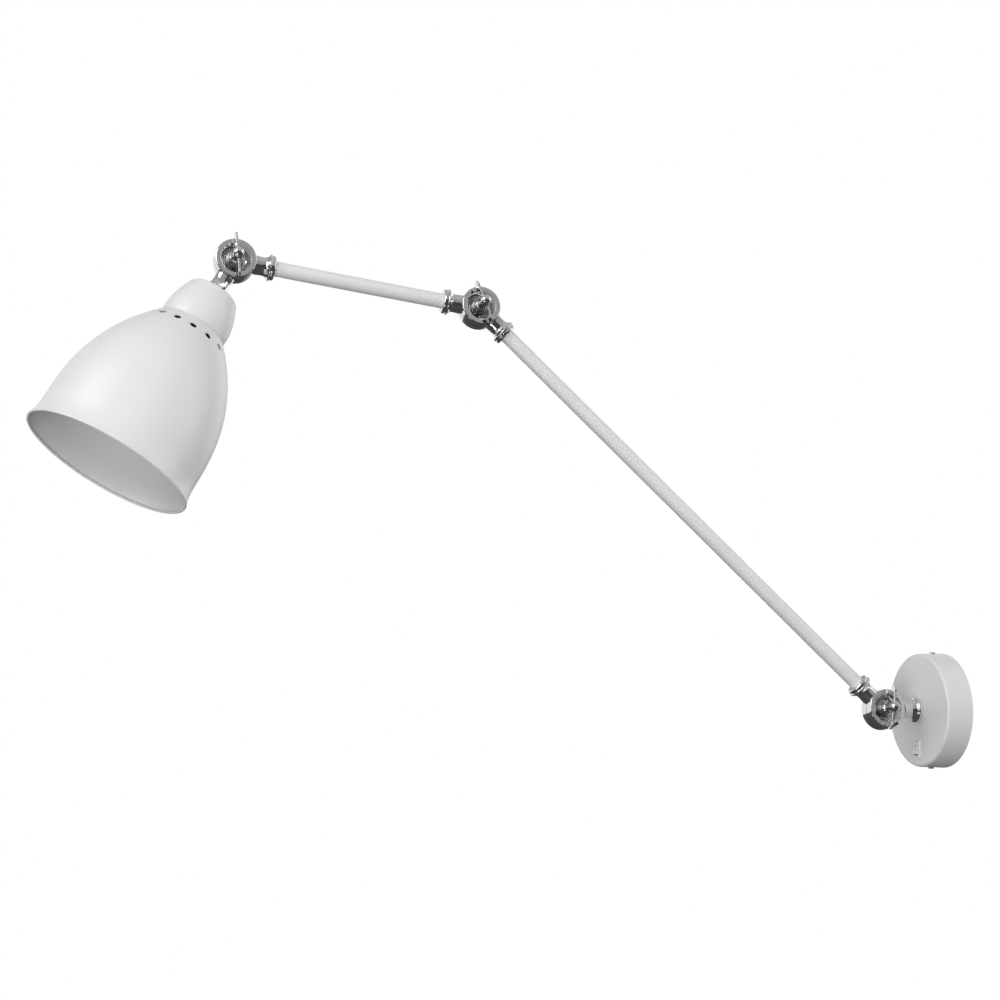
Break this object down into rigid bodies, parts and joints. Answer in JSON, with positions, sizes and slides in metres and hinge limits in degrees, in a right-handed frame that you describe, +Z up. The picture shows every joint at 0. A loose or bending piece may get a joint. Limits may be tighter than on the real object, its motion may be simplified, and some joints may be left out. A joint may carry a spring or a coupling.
{
  "type": "swing arm wall sconce",
  "caption": "Wall lamp with a round canopy, two tubular arms on sprung friction knuckles with wing nuts, and a vented bell shade on a screw lampholder.",
  "frame": {"origin": "on the wall plane, at the centre of the canopy's back and of the two slots for the wall screws", "axes": "+Z up, the lamp reaches out along -Y, hinges turn about X with their wing nuts on the +X side"},
  "size_m": [0.1422, 0.7894, 0.4356],
  "materials": {
    "white_canopy": "satin powder coat",
    "white_tube": "satin powder coat",
    "white_shade": "satin white powder coat over spun aluminium",
    "chrome_plate": "polished chrome plate",
    "spring_steel": "bright drawn spring steel",
    "friction_fibre": "black fibre ring",
    "zinc_steel": "zinc plated",
    "brass_contacts": "plain brass",
    "switch_plastic": "moulded, slight gloss",
    "terminal_plastic": "moulded",
    "holder_phenolic": "moulded black thermoset, matt",
    "lead_sheath": "flexible sheath"
  },
  "bodies": {
    "wall_mount": {"wall_bracket": "zinc_steel", "canopy": "white_canopy", "canopy_screws": "zinc_steel", "earth_screw": "brass_contacts", "terminal_block": "terminal_plastic", "terminal_screws": "brass_contacts", "switch_housing": "switch_plastic", "switch_blades": "brass_contacts", "canopy_leads": "lead_sheath", "stop_peg": "zinc_steel"},
    "rocker": {"switch_rocker": "switch_plastic"},
    "base_swivel": {"base_knuckle": "chrome_plate", "base_nipple": "zinc_steel", "foot_washer": "terminal_plastic", "stop_ring": "zinc_steel", "base_nut": "zinc_steel", "base_lead": "lead_sheath", "lower_pivot_bolt": "chrome_plate", "lower_friction_ring": "friction_fibre", "lower_spring": "spring_steel", "lower_spring_washer": "spring_steel"},
    "lower_wing": {"lower_wing_nut": "chrome_plate"},
    "long_arm": {"long_arm_lower_knuckle": "chrome_plate", "long_tube": "white_tube", "long_arm_upper_knuckle": "chrome_plate", "long_arm_lead": "lead_sheath", "elbow_pivot_bolt": "chrome_plate", "elbow_friction_ring": "friction_fibre", "elbow_spring": "spring_steel", "elbow_spring_washer": "spring_steel"},
    "elbow_wing": {"elbow_wing_nut": "chrome_plate"},
    "short_arm": {"short_arm_inner_knuckle": "chrome_plate", "short_tube": "white_tube", "short_arm_outer_knuckle": "chrome_plate", "short_arm_lead": "lead_sheath"},
    "head": {"head_knuckle": "chrome_plate", "head_pivot_bolt": "chrome_plate", "head_friction_ring": "friction_fibre", "head_spring": "spring_steel", "head_spring_washer": "spring_steel", "shade_cap": "white_shade", "head_nipple": "zinc_steel", "cap_nut": "zinc_steel", "holder_cap": "holder_phenolic", "holder_body": "holder_phenolic", "socket_shell": "brass_contacts", "centre_contact": "brass_contacts", "shade_ring": "holder_phenolic", "shade_bell": "white_shade", "head_lead": "lead_sheath"},
    "head_wing": {"head_wing_nut": "chrome_plate"}
  },
  "joints": [
    {"name": "base_turn", "type": "hinge", "parent": "wall_mount", "child": "base_swivel", "pos_m": [0, -0.058, 0], "axis": [0, -1, 0], "range_deg": [-160, 160]},
    {"name": "lower_hinge", "type": "hinge", "parent": "base_swivel", "child": "long_arm", "pos_m": [0, -0.058, 0], "axis": [-1, 0, 0], "range_deg": [-135, 46]},
    {"name": "elbow_hinge", "type": "hinge", "parent": "long_arm", "child": "short_arm", "pos_m": [0, -0.41719, 0.34205], "axis": [-1, 0, 0], "range_deg": [-63, 137]},
    {"name": "head_hinge", "type": "hinge", "parent": "short_arm", "child": "head", "pos_m": [0, -0.62787, 0.36568], "axis": [-1, 0, 0], "range_deg": [-38, 172]},
    {"name": "lower_wing_turn", "type": "hinge", "parent": "base_swivel", "child": "lower_wing", "pos_m": [0, -0.058, 0], "axis": [1, 0, 0], "continuous": true},
    {"name": "elbow_wing_turn", "type": "hinge", "parent": "long_arm", "child": "elbow_wing", "pos_m": [0, -0.41719, 0.34205], "axis": [1, 0, 0], "continuous": true},
    {"name": "head_wing_turn", "type": "hinge", "parent": "head", "child": "head_wing", "pos_m": [0, -0.62787, 0.36568], "axis": [1, 0, 0], "continuous": true},
    {"name": "rocker_tilt", "type": "hinge", "parent": "wall_mount", "child": "rocker", "pos_m": [-0.00637, -0.022, -0.03279], "axis": [0.9816, 0, -0.1908], "range_deg": [0, 16]}
  ]
}
